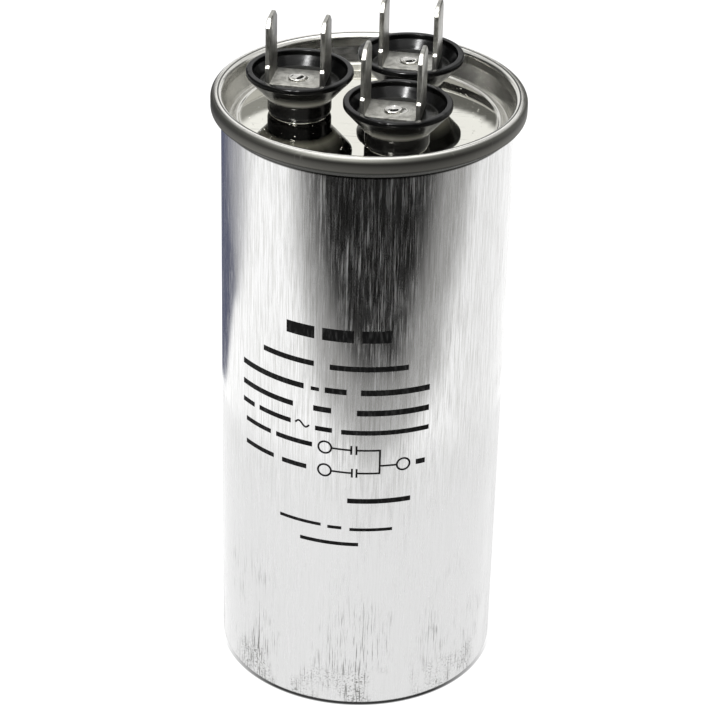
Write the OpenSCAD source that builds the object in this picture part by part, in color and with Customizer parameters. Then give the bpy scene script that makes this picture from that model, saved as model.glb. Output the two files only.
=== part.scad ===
/* [Can] */
// Outer diameter of the can
can_d = 50; // [48:0.5:56]
// Height from the base to the top of the seam
can_h = 110; // [100:1:130]
// Thickness of the drawn can
can_t = 0.45; // [0.4:0.05:0.55]
// Outer radius of the bottom edge
foot_r = 1.0; // [0.8:0.1:1.6]

/* [Seam and lid] */
// Thickness of the lid's sheet
lid_t = 0.35; // [0.3:0.05:0.4]
// How far the can's neck widens into the seam
neck_out = 0.55; // [0.4:0.05:0.7]
// Play between two layers of the double seam
seam_play = 0.03; // [0.02:0.01:0.05]
// Height of the seam's outer face
seam_h = 3.0; // [2.8:0.1:3.6]
// Depth of the lid's panel below the top of the seam
lid_depth = 4.6; // [4.2:0.1:5.4]
// How far the wall of the recess leans in from the seam to its foot
wall_lean = 1.1; // [0.9:0.05:1.3]
// Width of the groove around the panel
groove_w = 1.1; // [0.9:0.1:1.4]
// Depth of that groove
groove_depth = 0.5; // [0.3:0.1:0.7]
// Height of the stiffening bead inside the groove
bead_h = 0.25; // [0.15:0.05:0.35]
// Thickness of the sealing compound under the top of the seam
compound_t = 0.25; // [0.15:0.05:0.3]

/* [Terminal cups] */
// Distance of the terminals from the can's axis
pole_r = 11.85; // [11.5:0.05:12.5]
// Radius of a cup's lip
lip_r = 9.1; // [8.7:0.1:9.3]
// Width of the lip's flat top
lip_w = 1.05; // [0.8:0.05:1.3]
// Height of the lip's outer face
lip_h = 0.85; // [0.6:0.05:1.2]
// Height of a cup above the panel
cup_h = 7.8; // [7.4:0.1:8.6]
// Depth of a cup, from the lip to its floor
cup_depth = 2.4; // [2.1:0.1:2.6]
// Radius of a cup's foot
stem_r = 5.45; // [5:0.05:5.8]
// Height of the cup's straight foot
stem_h = 2.75; // [2.2:0.05:3]
// Radius of the spigot that goes through the lid
spigot_r = 3.4; // [3:0.1:3.8]

/* [Terminals] */
// Thickness of the terminal strip
strip_t = 0.8; // [0.7:0.05:0.9]
// Width of a blade
blade_w = 6.35; // [6:0.05:6.6]
// How far the strip's foot is wider than a blade on each side
shoulder_w = 0.3; // [0.2:0.05:0.4]
// Height of the shoulders above the strip's top
shoulder_h = 2.7; // [2:0.1:3.2]
// Distance between the outer faces of the two blades
blade_span = 10.1; // [9.4:0.1:10.4]
// Height of the blades above the strip's top
blade_h = 11.1; // [10:0.1:12]
// Chamfer on a blade's corners
tip_chamfer = 1.4; // [0.8:0.1:1.8]
// Bevel on both faces of a blade's tip
tip_bevel = 0.22; // [0.1:0.02:0.3]
// Turn of each terminal from the line through the common and herm poles
strip_turn = -2.6; // [-5:0.1:5]
// Radius of a rivet's shank
rivet_r = 1.2; // [1:0.1:1.5]
// Thickness of a rivet's head
rivet_head_t = 0.8; // [0.6:0.1:1]
// How far the spun end stands above the strip
rivet_clinch = 0.45; // [0.3:0.05:0.6]

/* [Under the lid] */
// Thickness of the insulating washer under the lid
washer_t = 1.6; // [1.3:0.1:2]
// Thickness of a lug
lug_t = 0.5; // [0.4:0.05:0.7]
// Width of a lug's tail
lug_w = 2.6; // [2:0.1:3]
// Distance of the leads' top ends from the can's axis
lead_r = 7; // [6.6:0.1:7.4]
// Diameter of a lead
wire_d = 1.0; // [0.8:0.1:1.1]
// Free height over the interrupter plate
headspace = 6; // [4:0.5:8]
// Thickness of the interrupter plate
plate_t = 1.5; // [1.2:0.1:2]
// Height of the posts under the interrupter plate
post_h = 8; // [6:0.5:10]
// Radius of those posts
post_r = 2.2; // [1.6:0.1:3]

/* [Windings] */
// Thickness of the insulating liner
liner_t = 0.6; // [0.4:0.1:0.8]
// Thickness of the base pad
pad_t = 2; // [1.8:0.1:3]
// Thickness of the pad on top of the windings
top_pad_t = 1; // [0.8:0.1:1.6]
// Height of the fan winding
fan_h = 12; // [10:0.5:16]
// Thickness of the sprayed metal on a winding's end
spray_t = 0.6; // [0.4:0.1:0.8]
// Outer radius of the cores
core_r = 4.9; // [4.4:0.1:5.2]
// Wall of the cores
core_t = 1.4; // [1:0.1:1.6]

/* [Fits] */
// Clearance around the spigots, the rivets and the cores
fit = 0.1; // [0.05:0.01:0.15]
// Clearance around the liner, the leads and the plate
loose = 0.2; // [0.15:0.05:0.25]

/* [Hidden] */
$fn = 96;

// Poles of the three terminals around the can's axis
common_at = -60;
herm_at = 180;
fan_at = 60;

// Radii of the double seam, from the outside in; each is a sheet's middle
can_r = can_d / 2;
body_wall_r = can_r - can_t / 2 + neck_out;
cover_hook_r = body_wall_r + can_t / 2 + seam_play + lid_t / 2;
body_hook_r = cover_hook_r + lid_t / 2 + seam_play + can_t / 2;
cover_wall_r = body_hook_r + can_t / 2 + seam_play + lid_t / 2;
chuck_wall_r = body_wall_r - can_t / 2 - seam_play - lid_t / 2;
chuck_foot_r = chuck_wall_r - wall_lean;

// Heights of the seam
seam_top = can_h - lid_t / 2;
seam_foot = can_h - seam_h + lid_t / 2;
hook_top = can_h - lid_t - compound_t - can_t / 2;
panel_z = can_h - lid_depth;
body_hook_bend = 0.48 * (body_hook_r - body_wall_r);
cover_hook_bend = 0.48 * (cover_wall_r - cover_hook_r);
cover_hook_end = hook_top - body_hook_bend - seam_play;
body_hook_end = seam_foot + cover_hook_bend + seam_play;
top_bend = 0.75;

// Heights under the lid, from the lug down to the interrupter plate
washer_z = panel_z - lid_t - washer_t;
lug_z = washer_z - lug_t;
plate_z = lug_z - rivet_head_t - headspace - plate_t;

// Heights of the stack, from the top pad down and from the base up
top_pad_z = plate_z - post_h - top_pad_t;
fan_upper_z = top_pad_z - spray_t;
fan_z = fan_upper_z - fan_h;
fan_lower_z = fan_z - spray_t;
divider_t = wire_d;
divider_z = fan_lower_z - divider_t;
herm_upper_z = divider_z - spray_t;
base_pad_z = can_t;
herm_lower_z = base_pad_z + pad_t;
herm_z = herm_lower_z + spray_t;
herm_h = herm_upper_z - herm_z;

// Radii of the stack, from the can's wall in
liner_out = can_r - can_t - loose;
liner_in = liner_out - liner_t;
lead_edge_r = liner_in - loose - wire_d / 2;
winding_r = lead_edge_r - wire_d / 2 - loose;
core_in = core_r - core_t;

// Route of the leads
wire_bend = wire_d / 2 + loose;
cross_z = top_pad_z + top_pad_t + wire_d / 2 + 1;
lead_foot = 5;

// Rivets
bore_r = rivet_r + fit / 2;
rivet_head_r = 2.2 * rivet_r;
clinch_r = 1.3 * rivet_r;

// Direction from point a to point b
function toward(a, b) = (b - a) / norm(b - a);
// Left-hand normal of a direction
function left(d) = [-d[1], d[0]];
// A point and its place without the bend radius
function at(p) = [p[0], p[1]];

// Points of the bend at corner p, with radius p[2], between the points a and b
function bend(a, p, b) =
    let (
        ra = toward(at(p), at(a)),
        rb = toward(at(p), at(b)),
        half = acos(ra * rb) / 2,
        run = p[2] / tan(half),
        centre = at(p) + (ra + rb) / norm(ra + rb) * p[2] / sin(half),
        first = at(p) + ra * run - centre,
        side = left(first) * ra < 0 ? 1 : -1,
        turn = side * (180 - 2 * half),
        steps = max(2, round(abs(turn) / 22.5))
    )
    [for (i = [0:steps])
        let (t = turn * i / steps)
        centre + [first[0] * cos(t) - first[1] * sin(t), first[0] * sin(t) + first[1] * cos(t)]];

// An open path with its corners bent
function bent(path) = [
    for (i = [0:len(path) - 1])
        each (i == 0 || i == len(path) - 1 || path[i][2] == 0)
            ? [at(path[i])]
            : bend(path[i - 1], path[i], path[i + 1])
];

// A closed outline with its corners rounded
function rounded(path) =
    let (n = len(path))
    [for (i = [0:n - 1])
        each path[i][2] == 0
            ? [at(path[i])]
            : bend(path[(i + n - 1) % n], path[i], path[(i + 1) % n])];

// One face of a sheet that follows points, at distance d to their left
function face(points, d) = [
    for (i = [0:len(points) - 1])
        let (
            before = left(toward(points[max(0, i - 1)], points[max(1, i)])),
            last = len(points) - 1,
            after = left(toward(points[min(last - 1, i)], points[min(last, i + 1)])),
            mean = (before + after) / norm(before + after)
        )
        points[i] + mean * d / (mean * after)
];

// Cross-section of a sheet of thickness t along a bent path
module sheet(path, t) {
    points = bent(path);
    back = face(points, -t / 2);
    polygon(concat(face(points, t / 2), [for (i = [len(back) - 1:-1:0]) back[i]]));
}

// A ring between two radii, standing on z
module ring(z, h, r_out, r_in) {
    translate([0, 0, z])
        difference() {
            cylinder(h = h, r = r_out);
            translate([0, 0, -1])
                cylinder(h = h + 2, r = r_in);
        }
}

// Moves its children from the can's axis to a pole
module pole(angle) {
    rotate(angle)
        translate([pole_r, 0, 0])
            children();
}

// The can's section: one drawn sheet that ends in the seam's body hook
module can_section() {
    wall_r = can_r - can_t / 2;
    neck_z = seam_foot - lid_t / 2 - 0.95;
    sheet([
        [0, can_t / 2, 0],
        [wall_r, can_t / 2, foot_r - can_t / 2],
        [wall_r, neck_z, 0.6],
        [body_wall_r, neck_z + 0.9, 0.6],
        [body_wall_r, hook_top, body_hook_bend],
        [body_hook_r, hook_top, body_hook_bend],
        [body_hook_r, body_hook_end, 0]
    ], can_t);
}

module can() {
    color("silver")
        rotate_extrude()
            can_section();
}

// The lid's section: panel, bead, groove, leaning wall and the seam's cover hook
module lid_section() {
    panel = panel_z - lid_t / 2;
    floor_z = panel - groove_depth;
    groove_out = chuck_foot_r - 0.1;
    groove_in = groove_out - groove_w;
    bead_out = groove_in - 0.55;
    bead_in = bead_out - 1.3;
    sheet([
        [0, panel, 0],
        [bead_in, panel, 0.5],
        [bead_in + 0.4, panel + bead_h, 0.5],
        [bead_out - 0.4, panel + bead_h, 0.5],
        [bead_out, panel, 0.4],
        [groove_in, panel, 0.3],
        [groove_in + 0.3, floor_z, 0.3],
        [groove_out, floor_z, 0.3],
        [chuck_wall_r, seam_foot + 0.6, 1],
        [chuck_wall_r, seam_top, top_bend],
        [cover_wall_r, seam_top, top_bend],
        [cover_wall_r, seam_foot, cover_hook_bend],
        [cover_hook_r, seam_foot, cover_hook_bend],
        [cover_hook_r, cover_hook_end, 0]
    ], lid_t);
}

module lid() {
    color("gainsboro")
        difference() {
            rotate_extrude()
                lid_section();
            for (angle = [common_at, herm_at, fan_at])
                pole(angle)
                    translate([0, 0, panel_z - 2])
                        cylinder(h = 4, r = spigot_r + fit);
        }
}

// The compound fills the space between the top of the seam and the body hook
module seam_compound() {
    color("dimgray")
        rotate_extrude()
            difference() {
                translate([body_wall_r, hook_top])
                    square([body_hook_r - body_wall_r, compound_t + can_t]);
                can_section();
                lid_section();
                translate([can_r, can_h - lid_t])
                    square([2 * seam_h, seam_h]);
            }
}

// A moulded cup: spigot, foot, flaring wall, lip and flat floor
module cup(angle) {
    in_r = lip_r - lip_w;
    floor_z = cup_h - cup_depth;
    flare = (lip_r - stem_r) / (cup_h - lip_h - stem_h);
    color("dimgray")
        pole(angle)
            translate([0, 0, panel_z])
                rotate_extrude()
                    polygon(rounded([
                        [bore_r, -lid_t - washer_t / 2, 0],
                        [spigot_r, -lid_t - washer_t / 2, 0.2],
                        [spigot_r, 0, 0],
                        [stem_r, 0, 1],
                        [stem_r, stem_h, 0.4],
                        [lip_r, cup_h - lip_h, 0.3],
                        [lip_r, cup_h, 0.3],
                        [in_r, cup_h, 0.15],
                        [in_r, cup_h - lip_h, 0.4],
                        [in_r - flare * (cup_depth - lip_h), floor_z, 0.3],
                        [bore_r, floor_z, 0]
                    ]));
}

module common_cup() { cup(common_at); }
module herm_cup() { cup(herm_at); }
module fan_cup() { cup(fan_at); }

// Section of a terminal across its blades, standing on z = 0
module terminal_section() {
    x = blade_span / 2 - strip_t / 2;
    tip = strip_t + blade_h;
    difference() {
        sheet([[-x, tip, 0], [-x, strip_t / 2, 0.65], [x, strip_t / 2, 0.65], [x, tip, 0]], strip_t);
        for (side = [-1, 1])
            for (flip = [-1, 1])
                translate([side * x + flip * strip_t / 2, tip])
                    rotate(flip * 18.4)
                        square([2 * tip_bevel, 6 * tip_bevel], center = true);
    }
}

// A terminal: one strip folded up at both ends into two blades
module terminal(angle) {
    foot_w = blade_w + 2 * shoulder_w;
    tip = strip_t + blade_h;
    color("lightsteelblue")
        rotate(angle)
            translate([pole_r, 0, panel_z + cup_h - cup_depth])
                rotate(strip_turn - angle)
                    difference() {
                        rotate([90, 0, 0])
                            linear_extrude(foot_w, center = true)
                                terminal_section();
                        translate([0, 0, -1])
                            cylinder(h = strip_t + 2, r = bore_r);
                        for (side = [-1, 1]) {
                            translate([0, side * (blade_w / 2 + 1), strip_t + shoulder_h + tip / 2])
                                cube([2 * blade_span, 2, tip], center = true);
                            translate([0, side * blade_w / 2, tip])
                                rotate([45, 0, 0])
                                    cube([2 * blade_span, sqrt(2) * tip_chamfer, sqrt(2) * tip_chamfer],
                                         center = true);
                        }
                    }
}

module common_terminal() { terminal(common_at); }
module herm_terminal() { terminal(herm_at); }
module fan_terminal() { terminal(fan_at); }

// A tubular rivet: head under the lug, shank, and an end spun over on the strip
module rivet(angle) {
    head_z = lug_z - rivet_head_t;
    strip_z = panel_z + cup_h - cup_depth + strip_t;
    color("gold")
        pole(angle)
            rotate_extrude()
                polygon(rounded([
                    [0, head_z, 0],
                    [rivet_head_r, head_z, 0.3],
                    [rivet_head_r, lug_z, 0],
                    [rivet_r, lug_z, 0],
                    [rivet_r, strip_z, 0],
                    [clinch_r, strip_z, 0],
                    [clinch_r, strip_z + rivet_clinch, 0.3],
                    [rivet_r / 2, strip_z + rivet_clinch, 0.15],
                    [rivet_r / 2, strip_z - strip_t, 0.1],
                    [0, strip_z - strip_t, 0]
                ]));
}

module common_rivet() { rivet(common_at); }
module herm_rivet() { rivet(herm_at); }
module fan_rivet() { rivet(fan_at); }

// An insulating washer under the lid, with a recess for the cup's spigot
module washer(angle) {
    recess = washer_t / 2 + fit;
    color("tan")
        pole(angle)
            rotate_extrude()
                polygon([
                    [bore_r, washer_z],
                    [stem_r, washer_z],
                    [stem_r, washer_z + washer_t],
                    [spigot_r + fit, washer_z + washer_t],
                    [spigot_r + fit, washer_z + washer_t - recess],
                    [bore_r, washer_z + washer_t - recess]
                ]);
}

module common_washer() { washer(common_at); }
module herm_washer() { washer(herm_at); }
module fan_washer() { washer(fan_at); }

// A lug: an eye under the washer and a tail towards the can's axis
module lug(angle) {
    reach = pole_r - lead_r + lug_w / 2;
    color("peru")
        pole(angle)
            translate([0, 0, lug_z])
                difference() {
                    union() {
                        cylinder(h = lug_t, r = rivet_head_r + 0.4);
                        translate([-reach, -lug_w / 2, 0])
                            cube([reach, lug_w, lug_t]);
                    }
                    translate([0, 0, -1])
                        cylinder(h = lug_t + 2, r = bore_r);
                }
}

module common_lug() { lug(common_at); }
module herm_lug() { lug(herm_at); }
module fan_lug() { lug(fan_at); }

// Parts of a lead's route in the plane through the can's axis and a pole
module upright(x, z_from, z_to) {
    translate([x, 0, z_from])
        cylinder(h = z_to - z_from, r = wire_d / 2);
}

module level(x_from, x_to, z) {
    translate([x_from, 0, z])
        rotate([0, 90, 0])
            cylinder(h = x_to - x_from, r = wire_d / 2);
}

// A quarter turn around x and z that starts at an angle
module elbow(x, z, start) {
    translate([x, 0, z])
        rotate([90, 0, 0])
            rotate(start)
                rotate_extrude(angle = 90)
                    translate([wire_bend, 0])
                        circle(r = wire_d / 2);
}

// The common lead starts between the two windings and climbs at their edge
module common_lead() {
    foot_z = divider_z + wire_d / 2;
    color("black")
        rotate(common_at) {
            level(lead_edge_r - lead_foot, lead_edge_r - wire_bend, foot_z);
            elbow(lead_edge_r - wire_bend, foot_z + wire_bend, 270);
            upright(lead_edge_r, foot_z + wire_bend, cross_z - wire_bend);
            elbow(lead_edge_r - wire_bend, cross_z - wire_bend, 0);
            level(lead_r + wire_bend, lead_edge_r - wire_bend, cross_z);
            elbow(lead_r + wire_bend, cross_z + wire_bend, 180);
            upright(lead_r, cross_z + wire_bend, lug_z);
        }
}

// The herm lead starts under the herm winding and climbs inside both cores
module herm_lead() {
    foot_z = herm_lower_z - wire_d / 2;
    color("gold")
        rotate(herm_at) {
            level(wire_bend, core_r + lead_foot, foot_z);
            elbow(wire_bend, foot_z + wire_bend, 180);
            upright(0, foot_z + wire_bend, cross_z - wire_bend);
            elbow(wire_bend, cross_z - wire_bend, 90);
            level(wire_bend, lead_r - wire_bend, cross_z);
            elbow(lead_r - wire_bend, cross_z + wire_bend, 270);
            upright(lead_r, cross_z + wire_bend, lug_z);
        }
}

// The fan lead rises straight from the fan winding's upper end
module fan_lead() {
    color("brown")
        rotate(fan_at)
            upright(lead_r, top_pad_z, lug_z);
}

// The plate that holds the leads back when the lid bulges, on its three posts
module interrupter_plate() {
    color("ivory")
        difference() {
            union() {
                translate([0, 0, plate_z])
                    cylinder(h = plate_t, r = liner_in - loose);
                for (angle = [common_at, herm_at, fan_at])
                    rotate(angle + 60)
                        translate([winding_r * 0.75, 0, plate_z - post_h])
                            cylinder(h = post_h + plate_t / 2, r = post_r);
            }
            for (angle = [common_at, herm_at, fan_at])
                rotate(angle)
                    translate([lead_r, 0, plate_z - 1])
                        cylinder(h = plate_t + 2, r = wire_d / 2 + loose);
        }
}

module top_pad() {
    color("wheat")
        difference() {
            ring(top_pad_z, top_pad_t, winding_r, core_in);
            rotate(fan_at)
                translate([lead_r, 0, top_pad_z - 1])
                    cylinder(h = top_pad_t + 2, r = wire_d / 2 + loose);
        }
}

module liner() {
    color("khaki")
        ring(herm_lower_z, plate_z + plate_t - herm_lower_z, liner_out, liner_in);
}

// The base pad, with a groove for the foot of the herm lead
module base_pad() {
    color("wheat")
        difference() {
            rotate_extrude()
                polygon(rounded([
                    [0, base_pad_z, 0],
                    [liner_out, base_pad_z, foot_r],
                    [liner_out, herm_lower_z, 0],
                    [0, herm_lower_z, 0]
                ]));
            rotate(herm_at)
                translate([-wire_d, -wire_d / 2 - loose, herm_lower_z - wire_d])
                    cube([core_r + lead_foot + 2 * wire_d, wire_d + 2 * loose, wire_d + 1]);
        }
}

module fan_winding() {
    color("lavender")
        ring(fan_z, fan_h, winding_r, core_r + fit);
}

module fan_core() {
    color("white")
        ring(fan_lower_z, fan_h + 2 * spray_t, core_r, core_in);
}

module fan_upper_contact() {
    color("gray")
        ring(fan_upper_z, spray_t, winding_r, core_r + fit);
}

module fan_lower_contact() {
    color("gray")
        ring(fan_lower_z, spray_t, winding_r, core_r + fit);
}

// The divider between the windings, notched for the foot of the common lead
module divider() {
    color("wheat")
        difference() {
            ring(divider_z, divider_t, winding_r, core_in);
            rotate(common_at)
                translate([lead_edge_r - lead_foot - loose, -wire_d / 2 - loose, divider_z - 1])
                    cube([lead_foot + wire_d, wire_d + 2 * loose, divider_t + 2]);
        }
}

module herm_winding() {
    color("lavender")
        ring(herm_z, herm_h, winding_r, core_r + fit);
}

module herm_core() {
    color("white")
        ring(herm_lower_z, herm_h + 2 * spray_t, core_r, core_in);
}

module herm_upper_contact() {
    color("gray")
        ring(herm_upper_z, spray_t, winding_r, core_r + fit);
}

module herm_lower_contact() {
    color("gray")
        ring(herm_lower_z, spray_t, winding_r, core_r + fit);
}

can();
lid();
seam_compound();
common_cup();
herm_cup();
fan_cup();
common_terminal();
herm_terminal();
fan_terminal();
common_rivet();
herm_rivet();
fan_rivet();
common_washer();
herm_washer();
fan_washer();
common_lug();
herm_lug();
fan_lug();
common_lead();
herm_lead();
fan_lead();
interrupter_plate();
top_pad();
liner();
base_pad();
fan_winding();
fan_core();
fan_upper_contact();
fan_lower_contact();
divider();
herm_winding();
herm_core();
herm_upper_contact();
herm_lower_contact();
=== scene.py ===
import math

import bmesh
import bpy
from mathutils import Matrix, Vector


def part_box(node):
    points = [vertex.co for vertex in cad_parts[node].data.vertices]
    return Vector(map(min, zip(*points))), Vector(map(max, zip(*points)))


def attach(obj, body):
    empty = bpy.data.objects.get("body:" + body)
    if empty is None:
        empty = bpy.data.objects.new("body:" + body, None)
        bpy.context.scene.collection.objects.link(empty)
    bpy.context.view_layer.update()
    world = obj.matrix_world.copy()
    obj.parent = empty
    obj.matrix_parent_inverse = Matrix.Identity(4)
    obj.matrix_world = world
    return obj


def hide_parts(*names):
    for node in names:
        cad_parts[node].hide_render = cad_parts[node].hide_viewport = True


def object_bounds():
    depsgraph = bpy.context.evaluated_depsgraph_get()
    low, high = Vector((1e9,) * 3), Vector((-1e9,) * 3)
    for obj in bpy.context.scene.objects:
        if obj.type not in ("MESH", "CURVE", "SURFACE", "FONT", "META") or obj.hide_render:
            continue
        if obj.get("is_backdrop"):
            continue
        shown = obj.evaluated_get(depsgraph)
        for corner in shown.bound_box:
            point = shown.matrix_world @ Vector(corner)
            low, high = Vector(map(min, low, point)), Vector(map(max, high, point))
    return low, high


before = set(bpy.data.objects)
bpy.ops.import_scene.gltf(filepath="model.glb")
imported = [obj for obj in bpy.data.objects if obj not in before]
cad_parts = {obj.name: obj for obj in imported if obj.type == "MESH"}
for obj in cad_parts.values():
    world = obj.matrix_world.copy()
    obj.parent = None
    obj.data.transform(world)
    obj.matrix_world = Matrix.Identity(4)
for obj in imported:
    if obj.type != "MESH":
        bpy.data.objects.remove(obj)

cadLow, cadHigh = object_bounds()
print("frame loaded")

mm = 0.001
scene = bpy.context.scene
scene.view_settings.view_transform = "Standard"


# Small helpers

def hexColor(value):
    parts = [int(value[i:i + 2], 16) / 255 for i in (1, 3, 5)]
    return [c / 12.92 if c < 0.04045 else ((c + 0.055) / 1.055) ** 2.4 for c in parts] + [1]


def addNode(owner, kind, inputs={}, to=None, **settings):
    # owner is a material or a geometry tree; a kind without Node in it is a shader node.
    # An input takes a value, an output or a node, which stands for its first output; to is a socket that this one feeds
    tree = getattr(owner, "node_tree", owner)
    node = tree.nodes.new(kind if "Node" in kind else "ShaderNode" + kind)
    for key, value in settings.items():
        setattr(node, key, value)
    for key, value in inputs.items():
        source = value.outputs[0] if isinstance(value, bpy.types.Node) else value
        if isinstance(source, bpy.types.NodeSocket):
            tree.links.new(source, node.inputs[key])
        else:
            node.inputs[key].default_value = source
    if to is not None:
        tree.links.new(node.outputs[0], to)
    return node


def newMaterial(name, color, roughness, metallic=0.0, specular=0.5):
    material = bpy.data.materials.new(name)
    material.use_nodes = True
    surface = material.node_tree.nodes["Principled BSDF"].inputs
    surface["Base Color"].default_value = hexColor(color)
    surface["Roughness"].default_value = roughness
    surface["Metallic"].default_value = metallic
    surface["Specular IOR Level"].default_value = specular
    return material, surface


def colorStops(ramp, stops):
    elements = ramp.color_ramp.elements
    while len(elements) < len(stops):
        elements.new(0.5)
    for element, (place, color) in zip(elements, stops):
        element.position = place
        element.color = hexColor(color)


def onCircle(radius, angle, height, centre=(0, 0)):
    return Vector((centre[0] + radius * math.cos(angle), centre[1] + radius * math.sin(angle), height)) * mm


def makePiece(name, points, faces, material, sharpAngle=35, turnOutwards=False):
    mesh = bpy.data.meshes.new(name)
    mesh.from_pydata(points, [], faces)
    mesh.materials.append(material)
    mesh.validate()
    if turnOutwards:
        body = bmesh.new()
        body.from_mesh(mesh)
        bmesh.ops.recalc_face_normals(body, faces=body.faces)
        body.to_mesh(mesh)
        body.free()
    mesh.shade_smooth()
    mesh.set_sharp_from_angle(angle=math.radians(sharpAngle))
    piece = bpy.data.objects.new(name, mesh)
    scene.collection.objects.link(piece)
    return piece


def wear(piece, slotName, *nodeNames):
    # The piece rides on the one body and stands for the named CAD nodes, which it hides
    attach(piece, "root")
    if nodeNames:
        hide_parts(*nodeNames)


# Profiles: corners are (radius, height, bend radius) in millimetres

def roundCorners(corners, closed=False, step=9):
    count = len(corners)
    points = []
    for i, (x, z, bend) in enumerate(corners):
        here = Vector((x, z))
        if bend == 0 or (not closed and i in (0, count - 1)):
            points.append(here)
            continue
        before = (Vector(corners[i - 1][:2]) - here).normalized()
        after = (Vector(corners[(i + 1) % count][:2]) - here).normalized()
        half = math.acos(max(-1, min(1, before.dot(after)))) / 2
        run = bend / math.tan(half)
        centre = here + (before + after).normalized() * bend / math.sin(half)
        first = here + before * run - centre
        side = 1 if Vector((-first.y, first.x)).dot(before) < 0 else -1
        turn = side * (math.pi - 2 * half)
        steps = max(2, math.ceil(abs(math.degrees(turn)) / step))  # a chord for each step of so many degrees
        points += [centre + Matrix.Rotation(turn * k / steps, 2) @ first for k in range(steps + 1)]
    return points


def offsetPath(points, distance):
    moved = []
    for i, point in enumerate(points):
        a = (points[max(1, i)] - points[max(0, i - 1)]).normalized()
        b = (points[min(len(points) - 1, i + 1)] - points[min(len(points) - 2, i)]).normalized()
        mean = Vector((-a.y - b.y, a.x + b.x)).normalized()
        moved.append(point + mean * distance / mean.dot(Vector((-b.y, b.x))))
    return moved


def sheetOutline(corners, thickness):
    middle = roundCorners(corners)
    return offsetPath(middle, thickness / 2) + offsetPath(middle, -thickness / 2)[::-1]


def revolve(name, outline, material, centre=(0, 0), turns=180, shape=None, sharpAngle=35):
    # Turns a closed outline about the axis through centre; shape moves a point by its radius, height and angle
    points, rows = [], []
    for r, z in outline:
        if r < 1e-5:
            rows.append([len(points)] * turns)
            points.append(onCircle(0, 0, z, centre))
            continue
        rows.append(list(range(len(points), len(points) + turns)))
        for k in range(turns):
            angle = 2 * math.pi * k / turns
            radius, height = shape(r, z, angle) if shape else (r, z)
            points.append(onCircle(radius, angle, height, centre))
    faces = []
    for low, high in zip(rows, rows[1:] + rows[:1]):
        for k in range(turns):
            n = (k + 1) % turns
            ring = list(dict.fromkeys([low[k], low[n], high[n], high[k]]))
            if len(ring) > 2:
                faces.append(ring)
    return makePiece(name, points, faces, material, sharpAngle, turnOutwards=True)


def squareTube(rings):
    # Faces of a bar made of rings of four points each, closed at both ends
    last = 4 * rings - 4
    sides = [(n + k, n + (k + 1) % 4, n + 4 + (k + 1) % 4, n + 4 + k) for n in range(0, last, 4) for k in range(4)]
    return sides + [(3, 2, 1, 0), tuple(range(last, last + 4))]


def closestAngle(angle):
    return (angle + 180) % 360 - 180


# Camera, studio and floor: places and sizes in millimetres, turns in degrees, power in watts

camera = {"place": (43.36, -399.14, 288.31), "azimuth": 6.26, "tilt": 29.87, "roll": 1.464, "lens": 129.64}

cameraData = bpy.data.cameras.new("camera")
cameraData.lens = camera["lens"]
cameraData.sensor_width = 36
cameraData.clip_start = 0.01
cameraData.clip_end = 20
cameraObject = bpy.data.objects.new("camera", cameraData)
scene.collection.objects.link(cameraObject)
cameraObject.matrix_world = (
    Matrix.Translation(Vector(camera["place"]) * mm)
    @ Matrix.Rotation(math.radians(camera["azimuth"]), 4, "Z")
    @ Matrix.Rotation(math.radians(90 - camera["tilt"]), 4, "X")
    @ Matrix.Rotation(math.radians(camera["roll"]), 4, "Z")
)
scene.camera = cameraObject

world = bpy.data.worlds.new("studio")
scene.world = world
world.use_nodes = True
background = world.node_tree.nodes["Background"].inputs
background["Color"].default_value = hexColor("#ffffff")
background["Strength"].default_value = 1.0

# A bright strip that shows in the cups, a dim wide one beside it, and a pale ceiling that whitens the seam's crest
softBoxes = {
    # name: azimuth, height above the horizon, distance, width, length, power
    "stripBox": (-19, 52, 900, 100, 520, 21),
    "sideBox": (24, 52, 900, 620, 300, 1.5),
    "ceiling": (180, 76, 1000, 900, 900, 4.0),
}
for name, (azimuth, height, distance, width, length, power) in softBoxes.items():
    lightData = bpy.data.lights.new(name, "AREA")
    lightData.shape = "RECTANGLE"
    lightData.size = width * mm
    lightData.size_y = length * mm
    lightData.energy = power
    lightObject = bpy.data.objects.new(name, lightData)
    scene.collection.objects.link(lightObject)
    lightObject.matrix_world = (
        Matrix.Translation((0, 0, cadHigh[2]))
        @ Matrix.Rotation(math.radians(azimuth), 4, "Z")
        @ Matrix.Rotation(math.radians(90 - height), 4, "X")
        @ Matrix.Translation((0, 0, distance * mm))
    )

# Floor: white board, lit enough to read as clean white, with a painted contact shadow: a thin dark line where the can's
# front edge stands
floor = {
    "size": 12000, "glow": 0.9,
    "shadowFrom": 24.75, "shadowTo": 25.3,  # radius over which the shadow under the foot ends
    "frontFrom": 4, "frontTo": 20,  # how far forward the shadow starts and is full
}
front = math.radians(-83.8)  # heading of the can's front, where the print stands
floorBoard, surface = newMaterial("whiteBoard", "#585858", 0.7, specular=0.1)
surface["Emission Strength"].default_value = floor["glow"]
floorPlace = addNode(floorBoard, "TexCoord").outputs["Object"]
fromAxis = addNode(floorBoard, "VectorMath", {0: floorPlace}, operation="LENGTH")
openFloor = addNode(floorBoard, "MapRange", {
    "Value": fromAxis.outputs["Value"], "From Min": floor["shadowFrom"] * mm, "From Max": floor["shadowTo"] * mm,
}, interpolation_type="SMOOTHSTEP")
forward = addNode(floorBoard, "VectorMath", {
    0: floorPlace, 1: (math.cos(front), math.sin(front), 0),
}, operation="DOT_PRODUCT")
sideLight = addNode(floorBoard, "MapRange", {
    "Value": forward.outputs["Value"], "From Min": floor["frontFrom"] * mm, "From Max": floor["frontTo"] * mm,
    "To Min": 1, "To Max": 0,
})
lit = addNode(floorBoard, "Math", {0: openFloor, 1: sideLight}, operation="MAXIMUM")
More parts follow.
